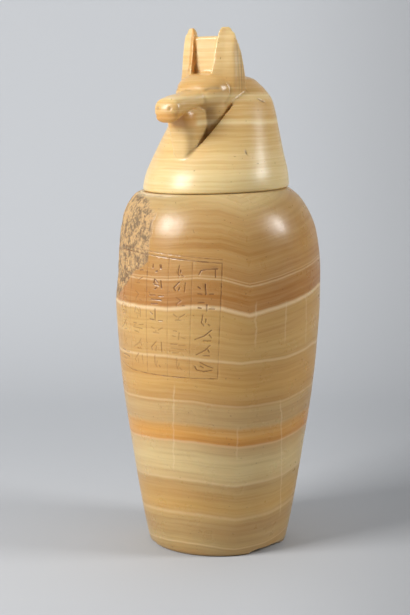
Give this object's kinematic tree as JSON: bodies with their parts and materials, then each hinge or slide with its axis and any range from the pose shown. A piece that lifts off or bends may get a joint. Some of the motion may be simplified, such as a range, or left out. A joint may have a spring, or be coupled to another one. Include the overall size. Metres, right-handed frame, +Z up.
{
  "type": "canopic jar",
  "caption": "Tall hollow shouldered stone jar with a narrow foot and a round mouth, closed by a plugged lid carved as a jackal's head in a wig.",
  "frame": {"origin": "centre of the jar's flat underside", "axes": "+Z up along the jar's axis; the jackal faces -Y; its left side is +X"},
  "size_m": [0.1667, 0.1668, 0.4202],
  "materials": {
    "jar_stone": "polished banded calcite",
    "lid_stone": "polished pale banded calcite"
  },
  "bodies": {
    "root": {"jar": "jar_stone", "jackal_lid": "lid_stone"}
  },
  "joints": []
}
